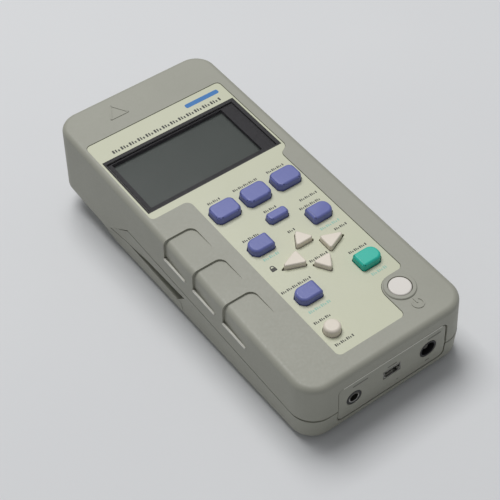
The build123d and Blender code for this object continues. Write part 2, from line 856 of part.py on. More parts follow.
# Keys, each with a flange that seats under the face of the case
for name, (outline, opening, size, height, edge), place, turn in panel_keys + [power_key]:
    with BuildPart() as key:
        with BuildSketch(key_plane(place, turn, flange_depth)):
            Rectangle(size[0] + 2 * key_flange, size[1] + 2 * key_flange)
        extrude(amount=-key_flange_thickness)
        with BuildSketch(key_plane(place, turn, flange_depth)):
            outline()
        extrude(amount=flange_depth + height)
        chamfer(key.faces().sort_by(deck_up)[-1].edges(), edge)
    key.part.label = name
    export_step(key.part, f"parts/{name}.step")

# Plate that carries the three sockets, let into the near end
with BuildPart() as connector_plate:
    with BuildSketch(facing(0, plate_front_y, 0)):
        with Locations((plate_x, -plate_depth)):
            RectangleRounded(plate_width, plate_height, plate_radius)
        with Locations((phone_x, -phone_depth)):
            Circle(phone_nose_radius + socket_gap, mode=Mode.SUBTRACT)
        with Locations((usb_x, -usb_depth)):
            Rectangle(usb_width + 2 * socket_gap, usb_height + 2 * socket_gap, mode=Mode.SUBTRACT)
        with Locations((dc_x, -dc_depth)):
            Circle(dc_nose_radius + socket_gap, mode=Mode.SUBTRACT)
    extrude(amount=-plate_thickness)
    plate_front = connector_plate.faces().sort_by(Axis.Y)[0]
    chamfer(plate_front.outer_wire().edges(), plate_chamfer)
connector_plate.part.label = "connector_plate"
export_step(connector_plate.part, "parts/connector_plate.step")

# Small board that carries the sockets
with BuildPart() as connector_board:
    with BuildSketch(level(socket_board_depth)):
        with Locations((plate_x, socket_back_y + socket_board_length / 2)):
            Rectangle(socket_board_width, socket_board_length)
    extrude(amount=-board_thickness)
connector_board.part.label = "connector_board"
export_step(connector_board.part, "parts/connector_board.step")

# Phone jack: a round nose through the plate and a block on the board
phone_body_height = socket_board_depth - phone_depth + phone_body_width / 2
with BuildPart() as phone_jack:
    with BuildSketch(facing(phone_x, plate_front_y, phone_depth)):
        Circle(phone_nose_radius)
    extrude(amount=-(plate_thickness + socket_gap))
    with BuildSketch(facing(phone_x, socket_back_y, socket_board_depth - phone_body_height / 2)):
        Rectangle(phone_body_width, phone_body_height)
    extrude(amount=-phone_length)
    with BuildSketch(facing(phone_x, plate_front_y, phone_depth)):
        Circle(phone_sleeve_radius)
    extrude(amount=-phone_length, mode=Mode.SUBTRACT)
phone_jack.part.label = "phone_jack"
export_step(phone_jack.part, "parts/phone_jack.step")

# Plated sleeve that lines the phone jack
with BuildPart() as phone_sleeve:
    with BuildSketch(facing(phone_x, plate_front_y, phone_depth)):
        Circle(phone_sleeve_radius)
        Circle(phone_bore_radius, mode=Mode.SUBTRACT)
    extrude(amount=-phone_length)
phone_sleeve.part.label = "phone_sleeve"
export_step(phone_sleeve.part, "parts/phone_sleeve.step")


def usb_outline(inset):
    """Outline of the USB socket with its two lower corners cut off."""
    right = usb_width / 2 - inset
    top = usb_height / 2 - inset
    with BuildLine() as line:
        Polyline(
            (-right, top),
            (right, top),
            (right, usb_chamfer - top),
            (right - usb_chamfer, -top),
            (usb_chamfer - right, -top),
            (-right, usb_chamfer - top),
            close=True,
        )
    make_face(line.edges())


# USB socket: a folded shell on a stand that reaches the board
usb_stand_height = socket_board_depth - usb_depth
with BuildPart() as usb_socket:
    with BuildSketch(facing(usb_x, plate_front_y, usb_depth)):
        usb_outline(0)
    extrude(amount=-usb_length)
    with BuildSketch(facing(usb_x, socket_back_y, usb_depth + usb_stand_height / 2)):
        Rectangle(usb_width - 2 * usb_chamfer, usb_stand_height)
    extrude(amount=-(usb_length - plate_thickness - socket_gap))
    with BuildSketch(facing(usb_x, plate_front_y, usb_depth)):
        usb_outline(usb_wall)
    extrude(amount=-usb_mouth_length, mode=Mode.SUBTRACT)
usb_socket.part.label = "usb_socket"
export_step(usb_socket.part, "parts/usb_socket.step")

# Contact tongue inside the USB socket
with BuildPart() as usb_tongue:
    with BuildSketch(facing(usb_x, plate_front_y + usb_mouth_length, usb_depth)):
        Rectangle(usb_tongue_width, usb_tongue_thickness)
    extrude(amount=usb_tongue_length)
usb_tongue.part.label = "usb_tongue"
export_step(usb_tongue.part, "parts/usb_tongue.step")

# Charger jack: a round nose through the plate and a block on the board
dc_body_height = socket_board_depth - dc_depth + dc_body_width / 2
with BuildPart() as dc_jack:
    with BuildSketch(facing(dc_x, plate_front_y, dc_depth)):
        Circle(dc_nose_radius)
    extrude(amount=-(plate_thickness + socket_gap))
    with BuildSketch(facing(dc_x, socket_back_y, socket_board_depth - dc_body_height / 2)):
        Rectangle(dc_body_width, dc_body_height)
    extrude(amount=-dc_length)
    with BuildSketch(facing(dc_x, plate_front_y, dc_depth)):
        Circle(dc_bore_radius)
    extrude(amount=-dc_bore_length, mode=Mode.SUBTRACT)
dc_jack.part.label = "dc_jack"
export_step(dc_jack.part, "parts/dc_jack.step")

# Centre pin of the charger jack
with BuildPart() as dc_pin:
    with BuildSketch(facing(dc_x, plate_front_y + dc_bore_length, dc_depth)):
        Circle(dc_pin_radius)
    extrude(amount=dc_bore_length - dc_pin_recess)
dc_pin.part.label = "dc_pin"
export_step(dc_pin.part, "parts/dc_pin.step")

# Optical adapter: a flange in the port's cup, a barrel outside and a tail through the cup's floor
with BuildPart() as optical_adapter:
    with BuildSketch(facing(0, port_floor_y, port_depth)):
        Circle(adapter_flange_radius)
    extrude(amount=-adapter_flange_thickness)
    with BuildSketch(facing(0, port_floor_y, port_depth)):
        Circle(adapter_barrel_radius)
    extrude(amount=-adapter_barrel_length)
    with BuildSketch(facing(0, port_floor_y, port_depth)):
        Circle(adapter_tail_radius)
    extrude(amount=port_cup_wall)
    with BuildSketch(facing(0, port_floor_y - port_cup_wall, port_depth)):
        Circle(ferrule_bore_radius)
    extrude(amount=-2 * port_recess, mode=Mode.SUBTRACT)
optical_adapter.part.label = "optical_adapter"
export_step(optical_adapter.part, "parts/optical_adapter.step")

# Photodiode can behind the adapter
with BuildPart() as photodiode:
    with BuildSketch(facing(0, port_floor_y - port_cup_wall, port_depth)):
        Circle(photodiode_radius)
    extrude(amount=photodiode_length)
photodiode.part.label = "photodiode"
export_step(photodiode.part, "parts/photodiode.step")

# Two cells lying across the case, pointing opposite ways
with BuildPart() as batteries:
    for cell_y, heading in zip(cell_places, (1, -1)):
        with BuildSketch(Plane.YZ.offset(-heading * cell_half_span)):
            with Locations((cell_y, cell_height)):
                Circle(cell_radius)
        extrude(amount=heading * cell_length)
        with BuildSketch(Plane.YZ.offset(heading * cell_half_span)):
            with Locations((cell_y, cell_height)):
                Circle(cell_nub_radius)
        extrude(amount=-heading * cell_nub_length)
batteries.part.label = "batteries"
export_step(batteries.part, "parts/batteries.step")

# Four contact plates on the end walls of the battery box
with BuildPart() as battery_contacts:
    for cell_y in cell_places:
        for side in (-1, 1):
            with BuildSketch(Plane.YZ.offset(side * box_half_width)):
                with Locations((cell_y, cell_height)):
                    Rectangle(contact_size, contact_size)
            extrude(amount=-side * contact_thickness)
            with BuildSketch(Plane.YZ.offset(side * box_half_width)):
                with Locations((cell_y, cell_height)):
                    Rectangle(contact_bump_width, contact_bump_width)
            extrude(amount=-side * (contact_thickness + contact_bump_height))
battery_contacts.part.label = "battery_contacts"
export_step(battery_contacts.part, "parts/battery_contacts.step")

# Rubber feet under the lower case
with BuildPart() as rubber_feet:
    with BuildSketch(Plane.XY):
        with Locations(
            (-near_foot_x, near_foot_y),
            (near_foot_x, near_foot_y),
            (-far_foot_x, far_foot_y),
            (far_foot_x, far_foot_y),
        ):
            Rectangle(foot_width, foot_length)
    extrude(amount=foot_height)
rubber_feet.part.label = "rubber_feet"
export_step(rubber_feet.part, "parts/rubber_feet.step")
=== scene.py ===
import math

import bmesh
import bpy
from mathutils import Matrix, Vector


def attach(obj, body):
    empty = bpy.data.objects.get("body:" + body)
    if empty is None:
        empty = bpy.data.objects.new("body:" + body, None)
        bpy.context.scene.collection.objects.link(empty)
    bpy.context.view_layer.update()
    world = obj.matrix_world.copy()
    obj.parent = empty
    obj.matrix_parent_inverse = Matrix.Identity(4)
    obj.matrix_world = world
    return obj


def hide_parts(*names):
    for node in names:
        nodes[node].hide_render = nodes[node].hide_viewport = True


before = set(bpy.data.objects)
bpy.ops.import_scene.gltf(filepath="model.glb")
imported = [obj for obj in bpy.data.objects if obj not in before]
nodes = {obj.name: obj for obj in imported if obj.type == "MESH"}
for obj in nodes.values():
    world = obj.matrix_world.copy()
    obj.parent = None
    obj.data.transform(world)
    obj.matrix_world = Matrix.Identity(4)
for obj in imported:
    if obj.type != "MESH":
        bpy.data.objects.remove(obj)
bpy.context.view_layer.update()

# Lower case: the moulded bottom shell, grey ABS from a spark-eroded tool.
# It carries the sockets, the cells and the stand, and is screwed up into the upper shell.
MM = 0.001


def linear(hex_colour):
    """An sRGB hex value as the linear colour that a shader takes."""
    parts = [int(hex_colour[i:i + 2], 16) / 255 for i in (1, 3, 5)]
    return tuple(c / 12.92 if c <= 0.04045 else ((c + 0.055) / 1.055) ** 2.4 for c in parts) + (1.0,)


def add(tree, kind, settings=None, **links):
    """A new node with its settings, its inputs set to values or linked to other sockets."""
    node = tree.nodes.new("ShaderNode" + kind)
    for name, value in (settings or {}).items():
        setattr(node, name, value)
    for name, value in links.items():
        key = int(name[1:]) if name[1:].isdigit() else name.replace("_", " ")
        if isinstance(value, bpy.types.NodeSocket):
            tree.links.new(value, node.inputs[key])
        else:
            node.inputs[key].default_value = value
    return node


def surface(name, **values):
    """A material for a real surface, with its Principled shader set to typical values."""
    material = bpy.data.materials.new(name)
    material.use_nodes = True
    shader = material.node_tree.nodes["Principled BSDF"]
    for key, value in values.items():
        shader.inputs[key.replace("_", " ")].default_value = value
    return material, material.node_tree, shader


def moulded_plastic(name, pale, deep, grain, roughness, relief, spread=24 * MM):
    """Injection-moulded plastic: slow colour drift from flow in the tool, and its grain as fine relief."""
    material, tree, shader = surface(name, IOR=1.53)
    place = add(tree, "TexCoord").outputs["Object"]
    drift = add(tree, "TexNoise", Vector=place, Scale=1 / spread, Detail=3.0, Roughness=0.55)
    colour = add(tree, "Mix", {"data_type": "RGBA"},
                 _0=drift.outputs["Fac"], _6=linear(deep), _7=linear(pale))
    tree.links.new(colour.outputs[2], shader.inputs["Base Color"])
    grit = add(tree, "TexNoise", Vector=place, Scale=1 / grain, Detail=2.0, Roughness=0.5)
    gloss = add(tree, "MapRange", Value=grit.outputs["Fac"], From_Min=0.3, From_Max=0.7,
                To_Min=roughness - 0.06, To_Max=roughness + 0.08)
    tree.links.new(gloss.outputs["Result"], shader.inputs["Roughness"])
    bump = add(tree, "Bump", Height=grit.outputs["Fac"], Strength=relief, Distance=0.1 * MM)
    tree.links.new(bump.outputs["Normal"], shader.inputs["Normal"])
    return material


def dress(material, *names):
    """Gives CAD nodes their finish."""
    for name in names:
        nodes[name].data.materials.clear()
        nodes[name].data.materials.append(material)


# A matt, faintly grainy skin. The real grain is about 0.3 mm: it is drawn at 0.9 mm,
# the finest that shows from here.
case_abs = moulded_plastic("ABS moulded grey", "#a5a599", "#9a9a8e",
                           grain=0.9 * MM, roughness=0.52, relief=0.16)
dress(case_abs, "lower_case")

# Cells: two steel cans in plain PVC sleeves, dark with a copper band at one end.
# The contacts are nickel-plated spring strip, pressed into slots of the battery box.
def uneven_gloss(tree, shader, grain, low, high, detail=3.0):
    """Roughness that drifts between two values, as wear and polishing leave it. Gives back the drift."""
    place = add(tree, "TexCoord").outputs["Object"]
    drift = add(tree, "TexNoise", Vector=place, Scale=1 / grain, Detail=detail).outputs["Fac"]
    gloss = add(tree, "MapRange", Value=drift, From_Min=0.3, From_Max=0.7, To_Min=low, To_Max=high)
    tree.links.new(gloss.outputs["Result"], shader.inputs["Roughness"])
    return drift


def plated(name, colour, grain, low, high):
    """Plated metal: one colour, with gloss that drifts as its polish and wear do."""
    material, tree, shader = surface(name, Base_Color=linear(colour), Metallic=1.0)
    uneven_gloss(tree, shader, grain, low, high)
    return material


# Shrunk PVC film: smooth and half glossy, with a clean edge where the copper band starts.
cell_sleeve, tree, shader = surface("PVC sleeve dark", IOR=1.53)
mottle = uneven_gloss(tree, shader, grain=9 * MM, low=0.28, high=0.42)
along = add(tree, "SeparateXYZ", Vector=add(tree, "TexCoord").outputs["Object"])
band = add(tree, "MapRange", {"interpolation_type": "SMOOTHSTEP"}, Value=along.outputs["X"],
           From_Min=9.0 * MM, From_Max=9.4 * MM, To_Min=0.0, To_Max=1.0)
dark = add(tree, "Mix", {"data_type": "RGBA"}, _0=mottle, _6=linear("#35373c"), _7=linear("#44464b"))
sleeve = add(tree, "Mix", {"data_type": "RGBA"},
             _0=band.outputs["Result"], _6=dark.outputs[2], _7=linear("#a2703f"))
tree.links.new(sleeve.outputs[2], shader.inputs["Base Color"])
dress(cell_sleeve, "batteries")
# Nickel over stamped steel: bright and faintly brushed.
plating = plated("nickel plate", "#c9c8c4", grain=0.8 * MM, low=0.18, high=0.32)
dress(plating, "battery_contacts")

# Battery cover: a sliding lid of the case's own ABS, with thumb ridges moulded in.
# It slides out along the bottom and is held by the edges of the lower case.
dress(case_abs, "battery_cover")

# Sockets: black nylon bodies with plated contacts, standing on the small board behind the end plate.
# The board is green fibreglass, and the tongue of the middle socket is a paler grade of nylon.
# Solder mask is a smooth green lacquer, and nylon is dull with a fine grain.
board_mask = moulded_plastic("fibreglass solder mask", "#35664a", "#2b553c",
                             grain=1.2 * MM, roughness=0.35, relief=0.1)
dress(board_mask, "connector_board", "main_board")
nylon_black = moulded_plastic("nylon black", "#232325", "#1b1b1d",
                              grain=0.6 * MM, roughness=0.45, relief=0.12)
dress(nylon_black, "phone_jack", "dc_jack")
nylon_grey = moulded_plastic("nylon grey", "#a9a9a3", "#9c9c96",
                             grain=0.6 * MM, roughness=0.45, relief=0.1)
dress(nylon_grey, "usb_tongue")
dress(plating, "usb_socket")
# The pin and the sleeve that plugs rub are a dull, dark nickel.
pin_plate = plated("nickel plate dull", "#6b6964", grain=1.2 * MM, low=0.4, high=0.55)
dress(pin_plate, "dc_pin", "phone_sleeve")

# End plate: a moulded ABS plate let into the near end, with a hole for each socket.
# It follows the end wall, which turns in below the parting line, with a wider gap below and on the right.
# Bars of grey ink stand for its print.
face_slope = math.radians(4.4)
wall_lean = math.radians(2.5)
upright = math.radians(90)
deck = Matrix.Translation((0, -1.8753 * MM, 36.5 * MM)) @ Matrix.Rotation(face_slope, 4, "X")
socket_depth = 15.3 * MM
end_wall = Matrix.Translation((0, -86.53 * MM, -socket_depth)) @ Matrix.Rotation(upright - wall_lean, 4, "X")
end_face = deck @ end_wall @ Matrix.Translation((0, socket_depth, 0.05 * MM))
parting = Vector((0, -17.0 * MM, 0))


def verts_of(geom):
    """The vertices among the results of an operator."""
    return [g for g in geom if isinstance(g, bmesh.types.BMVert)]


def patch(shape, x, y, low, length, width, height, corner):
    """One raised patch with round corners, from a low level up, in millimetres on its face."""
    middle = Matrix.Translation((x * MM, y * MM, (low + height / 2) * MM))
    size = Matrix.Diagonal((length * MM, width * MM, height * MM, 1))
    made = bmesh.ops.create_cube(shape, size=1.0, matrix=middle @ size)
    standing = [e for e in {e for v in made["verts"] for e in v.link_edges}
                if abs(e.verts[0].co.z - e.verts[1].co.z) > 0.5 * height * MM]
    bmesh.ops.bevel(shape, geom=standing, offset=corner * MM, offset_type="OFFSET", segments=3, profile=0.5,
                    affect="EDGES", material=-1)


def raised_ring(shape, x, y, low, radius, share, height, cut):
    """A flat ring standing up from a low level, open above a cut line across it, in millimetres."""
    middle = Matrix.Translation((x * MM, y * MM, low * MM))
    outer = bmesh.ops.create_circle(shape, cap_ends=False, radius=radius * MM, segments=36,
                                    matrix=middle)["verts"]
    band = bmesh.ops.extrude_edge_only(shape, edges=list({e for v in outer for e in v.link_edges}))["geom"]
    bmesh.ops.scale(shape, verts=verts_of(band), vec=(share, share, 1), space=middle.inverted())
    faces = [g for g in band if isinstance(g, bmesh.types.BMFace)]
    kept = [f for f in faces if f.calc_center_median().y < (y + cut) * MM]
    bmesh.ops.delete(shape, geom=[f for f in faces if f not in kept], context="FACES")
    lifted = bmesh.ops.extrude_face_region(shape, geom=kept)["geom"]
    bmesh.ops.translate(shape, verts=verts_of(lifted), vec=(0, 0, height * MM))


def fold(shape):
    """Turns in what lies below the parting line, as far as the lower case does."""
    turn_in = 0.1
    turn = Matrix.Translation(parting) @ Matrix.Shear("XZ", 4, (0, turn_in)) @ Matrix.Translation(-parting)
    bmesh.ops.transform(shape, matrix=turn, verts=[v for v in shape.verts if v.co.y < parting.y])


def settle(name, shape, finish, body, face):
    """Sets a finished shape on its face, gives it its finish and lets it ride on its body."""
    bmesh.ops.transform(shape, matrix=face, verts=shape.verts)
    bmesh.ops.recalc_face_normals(shape, faces=shape.faces)
    for facet in shape.faces:
        facet.smooth = True
    mesh = bpy.data.meshes.new(name)
    shape.to_mesh(mesh)
    shape.free()
    mesh.set_sharp_from_angle(angle=math.radians(35))
    mesh.materials.append(finish)
    part = bpy.data.objects.new(name, mesh)
    bpy.context.scene.collection.objects.link(part)
    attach(part, body)


def screen_ink(name, pale, deep):
    """Screen-printing ink: matt, a little thin in places where the mesh shows through."""
    return moulded_plastic(name, pale, deep, grain=0.5 * MM, roughness=0.6, relief=0.05, spread=1.5 * MM)


end_plate = bmesh.new()
plate_corners = ((25.6, -5.95), (-23.7, -5.95), (-23.7, -24.1), (25.6, -24.1))
outline = [end_plate.verts.new((x * MM, y * MM, 0)) for x, y in plate_corners]
end_plate.faces.new(outline)
corner_radius = 2.4 * MM
bmesh.ops.bevel(end_plate, geom=outline, offset=corner_radius, offset_type="OFFSET", segments=6, profile=0.5,
                affect="VERTICES", material=-1)
bmesh.ops.delete(end_plate, geom=end_plate.faces[:], context="FACES_ONLY")
rim = end_plate.edges[:]
phone_hole = (-16.8, -14.8, 3.45)
charger_hole = (17.5, -14.1, 3.95)
for x, y, radius in (phone_hole, charger_hole):
    bmesh.ops.create_circle(end_plate, cap_ends=False, radius=radius * MM, segments=40,
                            matrix=Matrix.Translation((x * MM, y * MM, 0)))
mouth_corners = ((4.55, -11.25), (-3.55, -11.25), (-3.55, -15.55), (4.55, -15.55))
mouth = [end_plate.verts.new((x * MM, y * MM, 0)) for x, y in mouth_corners]
for i in range(len(mouth)):
    end_plate.edges.new((mouth[i - 1], mouth[i]))
bmesh.ops.triangle_fill(end_plate, edges=end_plate.edges[:], use_beauty=True)
back = bmesh.ops.extrude_face_region(end_plate, geom=end_plate.faces[:])["geom"]
plate_thickness = 0.8 * MM
bmesh.ops.translate(end_plate, verts=verts_of(back), vec=(0, 0, -plate_thickness))
rim_radius = 0.25 * MM
bmesh.ops.bevel(end_plate, geom=rim, offset=rim_radius, offset_type="OFFSET", segments=2, profile=0.5,
                affect="EDGES", material=-1)
bmesh.ops.bisect_plane(end_plate, geom=end_plate.verts[:] + end_plate.edges[:] + end_plate.faces[:],
                       dist=0.001 * MM, plane_co=parting, plane_no=(0, 1, 0))
fold(end_plate)
settle("end_plate", end_plate, case_abs, "case", end_face)
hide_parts("connector_plate")
# Its upper edge carries a thin strip of paler, smoother ABS: the pale colour is a painted highlight along
# that edge.
highlight_abs = moulded_plastic("ABS pale painted highlight", "#e4e3da", "#d8d7cc",
                             grain=0.6 * MM, roughness=0.36, relief=0.05, spread=4 * MM)
plate_edge = bmesh.new()
patch(plate_edge, 1.2, -6.15, low=-0.2, length=45.4, width=0.42, height=0.24, corner=0.15)
settle("plate_edge", plate_edge, highlight_abs, "case", end_face)
ink_grey = screen_ink("ink grey", "#7d7d74", "#66665e")
end_print = bmesh.new()
socket_names = ((-14.0, -8.5, 6.8), (0.5, -10.0, 4.2), (20.2, -8.6, 6.2))
socket_signs = ((3.6, -20.9, 1.0), (17.8, -21.0, 1.9))
for x, y, length in socket_names + socket_signs:
    patch(end_print, x, y, low=-0.02, length=length, width=0.7, height=0.05, corner=0.2)
fold(end_print)
settle("end_print", end_print, ink_grey, "case", end_face)
# The mouth of the phone socket has a bright rim.
sleeve_rim = bmesh.new()
raised_ring(sleeve_rim, *phone_hole[:2], low=-0.25, radius=2.25, share=0.84, height=0.2, cut=3.0)
settle("sleeve_rim", sleeve_rim, plating, "case", end_face)

# Optical port: a turned brass adapter with nickel plate, bolted into the cup in the far end.
# The photodiode sits behind it in a metal can, and the barrel carries a fine thread.
dress(plating, "optical_adapter", "photodiode")
port_depth = 15.5 * MM
thread = bmesh.new()
pitch = 0.5
bore = 3.9
root = 4.0
crest = 0.24
ridges = [(root + crest * (i % 2), 81.1 + pitch * i / 2) for i in range(13)]
turns = [(bore, 81.0)] + ridges + [(bore, 84.2)]
profile = [thread.verts.new((radius * MM, y * MM, 0)) for radius, y in turns]
loop = [thread.edges.new((profile[i - 1], profile[i])) for i in range(len(profile))]
bmesh.ops.spin(thread, geom=profile + loop, cent=(0, 0, 0), axis=(0, 1, 0), angle=math.tau, steps=40,
               use_merge=True)
port = deck @ Matrix.Translation((0, 0, -port_depth))
settle("adapter_thread", thread, plating, "case", port)


def edges_of(geom):
    """The edges among the results of an operator."""
    return [g for g in geom if isinstance(g, bmesh.types.BMEdge)]


def screw_head(shape, x, y, low, radius, height):
    """A pan head with a cross recess, standing up from a low level, in millimetres."""
    middle = Matrix.Translation((x * MM, y * MM, low * MM))
    foot = bmesh.ops.create_circle(shape, cap_ends=True, radius=radius * MM, segments=28,
                                   matrix=middle)["verts"]
    wall_height = 0.6 * height
    taper = 0.8
    wall = bmesh.ops.extrude_edge_only(shape, edges=list({e for v in foot for e in v.link_edges}))["geom"]
    bmesh.ops.translate(shape, verts=verts_of(wall), vec=(0, 0, wall_height * MM))
    dome = bmesh.ops.extrude_edge_only(shape, edges=edges_of(wall))["geom"]
    bmesh.ops.translate(shape, verts=verts_of(dome), vec=(0, 0, (height - wall_height) * MM))
    bmesh.ops.scale(shape, verts=verts_of(dome), vec=(taper, taper, 1), space=middle.inverted())
    arm = 0.52 * radius
    web = 0.15 * radius
    recess_depth = 0.5 * height
    corners = [(arm, -web), (arm, web), (web, web), (web, arm), (-web, arm), (-web, web),
               (-arm, web), (-arm, -web), (-web, -web), (-web, -arm), (web, -arm), (web, -web)]
    cross = [shape.verts.new(((x + a) * MM, (y + b) * MM, (low + height) * MM)) for a, b in corners]
    brink = [shape.edges.new((cross[i - 1], cross[i])) for i in range(len(cross))]
    bmesh.ops.triangle_fill(shape, edges=edges_of(dome) + brink, use_beauty=True)
    recess = bmesh.ops.extrude_edge_only(shape, edges=brink)["geom"]
    bmesh.ops.translate(shape, verts=verts_of(recess), vec=(0, 0, -recess_depth * MM))
    bmesh.ops.contextual_create(shape, geom=edges_of(recess))


flange_screws = bmesh.new()
for x in (-5.5, 5.5):
    screw_head(flange_screws, x, 0, low=0, radius=1.0, height=0.6)
flange = deck @ Matrix.Translation((0, 80.69 * MM, -port_depth)) @ Matrix.Rotation(-upright, 4, "X")
settle("flange_screws", flange_screws, plating, "case", flange)

# Switch membrane: a grey silicone sheet with a rubber dome under each key, laid on the main board.
# The keys press through it onto gold pads of the board. Silicone looks soft, with no gloss.
membrane_silicone = moulded_plastic("silicone grey", "#bcb9af", "#b0ada3",
                                    grain=1.0 * MM, roughness=0.6, relief=0.1)
dress(membrane_silicone, "keypad_membrane")

# Keys: moulded ABS caps, violet for functions, one green, beige for the cursor, white for power.
# Each cap has a soft satin skin and well rounded edges, and stands on a flange under the panel.
def key_plastic(name, pale, deep, roughness):
    """ABS of one key colour, polished to a satin skin."""
    return moulded_plastic(name, pale, deep, grain=0.7 * MM, roughness=roughness, relief=0.1, spread=12 * MM)


def weld_facets(name):
    """Joins the loose facets of a CAD node, so that a modifier after it sees one skin."""
    weld = nodes[name].modifiers.new("weld", "WELD")
    weld.merge_threshold = 0.002 * MM


def soften(width, *names):
    """Rounds the sharp edges of CAD nodes as far as the tool that moulds them does."""
    for name in names:
        weld_facets(name)
        flats = nodes[name].modifiers.new("flats", "DECIMATE")
        flats.decimate_type = "DISSOLVE"
        flats.angle_limit = math.radians(0.6)
        edge = nodes[name].modifiers.new("edge", "BEVEL")
        edge.width = width
        edge.segments = 3
        edge.limit_method = "ANGLE"
        edge.angle_limit = math.radians(32)
        edge.use_clamp_overlap = False
        edge.harden_normals = True


key_violet = key_plastic("ABS violet", "#7077b6", "#656cab", 0.44)
dress(key_violet, "key_first", "key_second", "key_third", "key_bar")
dress(key_violet, "key_left_far", "key_right_far", "key_left_near")
key_green = key_plastic("ABS green", "#2cc6b1", "#24b8a4", 0.44)
dress(key_green, "key_right_near")
key_beige = key_plastic("ABS beige", "#ece3d6", "#e2d8c9", 0.46)
arrow_keys = ("arrow_up", "arrow_down", "arrow_left", "arrow_right")
dress(key_beige, *arrow_keys, "key_round")
key_white = key_plastic("ABS white", "#e9e4de", "#dfdad3", 0.4)
dress(key_white, "power_key")
soften(0.4 * MM, "key_first", "key_second", "key_third", "key_right_far", "key_round")
soften(0.36 * MM, "key_bar", "key_left_far", "key_left_near", "key_right_near")
soften(0.2 * MM, *arrow_keys, "power_key")

# Display: a liquid crystal glass behind a black frame, under a clear acrylic window.
# The glass is off, so it shows only the grey-green of its polarising film. The frame is dull black.
bezel_black = moulded_plastic("ABS black", "#272529", "#201e22",
                              grain=0.8 * MM, roughness=0.55, relief=0.12)
dress(bezel_black, "lcd_bezel")
lcd_glass, tree, shader = surface("LCD reflective", Roughness=0.35, IOR=1.5)
place = add(tree, "TexCoord").outputs["Object"]
haze = add(tree, "TexNoise", Vector=place, Scale=1 / (30 * MM), Detail=2.0)
tone = add(tree, "Mix", {"data_type": "RGBA"},
           _0=haze.outputs["Fac"], _6=linear("#4b534e"), _7=linear("#555d57"))
tree.links.new(tone.outputs[2], shader.inputs["Base Color"])
dress(lcd_glass, "lcd_module")
# Clear acrylic, seen by a faint smear in its polish.
window_acrylic, tree, shader = surface("acrylic clear", Base_Color=linear("#302e32"), IOR=1.49, Alpha=0.14)
uneven_gloss(tree, shader, grain=18 * MM, low=0.04, high=0.12, detail=2.0)
dress(window_acrylic, "display_window")
# The window lies on its frame; a hair's breadth keeps the two faces apart.
weld_facets("display_window")
clearance = nodes["display_window"].modifiers.new("clearance", "DISPLACE")
clearance.mid_level = 0.0
clearance.strength = -0.01 * MM
# A black border is printed round the window, wider on the far and right sides.
ink_black = screen_ink("ink black", "#2a282b", "#232124")
window_border = bmesh.new()
for x, y, length, width in ((-1.5, 52.35, 63.4, 1.5), (-1.5, 19.5, 63.4, 0.6),
                            (29.45, 35.7, 1.5, 31.7), (-32.9, 35.7, 0.6, 31.7)):
    patch(window_border, x, y, low=-0.08, length=length, width=width, height=0.04, corner=0.05)
settle("window_border", window_border, ink_black, "case", deck)

# Upper case: the moulded top shell with the finger grips and the deep skirt at the display end.
# Same ABS and tool finish as the lower case, so the two meet in one fine seam; two marks stand up on it.
dress(case_abs, "upper_case")
mark_low = 0.28
power_mark = bmesh.new()
raised_ring(power_mark, 20.2, -76.3, low=mark_low, radius=2.4, share=0.78, height=0.3, cut=1.7)
patch(power_mark, 20.2, -74.8, low=mark_low, length=0.55, width=2.6, height=0.3, corner=0.15)
settle("power_mark", power_mark, case_abs, "case", deck)
port_mark = bmesh.new()
for side in range(3):
    bmesh.ops.rotate(port_mark, verts=port_mark.verts, cent=(0, 0, 0),
                     matrix=Matrix.Rotation(math.radians(120), 3, "Z"))
    patch(port_mark, 0, -2.4, low=mark_low, length=8.6, width=0.6, height=0.25, corner=0.2)
far_end = deck @ Matrix.Translation((-13.0 * MM, 74.7 * MM, 0))
settle("port_mark", port_mark, case_abs, "case", far_end)

# Grip lips: the lower edge of each finger grip, moulded with the upper case.
# These edges are smoother and paler than the rest of the ABS: the paler colour is a painted highlight.
outwards = Matrix.Rotation(-upright, 4, "Z") @ Matrix.Rotation(upright, 4, "X")
left_wall = deck @ Matrix.Translation((-37.2 * MM, 0, -9.0 * MM)) @ outwards
grip_lips = bmesh.new()
for x in (3.8, 23.2, 42.6):
    patch(grip_lips, x, 0, low=-0.15, length=14.2, width=0.8, height=0.6, corner=0.35)
settle("grip_lips", grip_lips, highlight_abs, "case", left_wall)

# Face panel: a cream polycarbonate sheet, screen printed and stuck into a shallow recess of the case.
# It has a satin face. Rows of plain dark strokes stand where the key names are, teal ones for the
# second functions.
panel_film = moulded_plastic("polycarbonate cream", "#cfd0b9", "#c8cab0",
                             grain=0.7 * MM, roughness=0.42, relief=0.08)
dress(panel_film, "front_panel")
ink_dark = screen_ink("ink charcoal", "#4b4b46", "#3a3a36")
ink_teal = screen_ink("ink teal", "#a3cdbd", "#93c3b3")
ink_blue = screen_ink("ink blue", "#3f7fc0", "#3272b4")
ink_low = -0.02
ink_height = 0.05


def strokes(shape, x, y, length, width):
    """A printed row of fine upright strokes, every third one short, in millimetres."""
    thick = (0.42, 0.3, 0.36)
    tall = (1.0, 0.94, 0.62)
    gap = (0.26, 0.3, 0.46)
    reach = -length / 2
    count = 0
    while reach < length / 2:
        kind = count % 3
        stroke = thick[kind] * width
        rise = tall[kind] * width
        patch(shape, x + reach + stroke / 2, y - (width - rise) / 2, low=ink_low, length=stroke, width=rise,
              height=ink_height, corner=0.1 * width)
        reach += stroke + gap[kind] * width
        count += 1


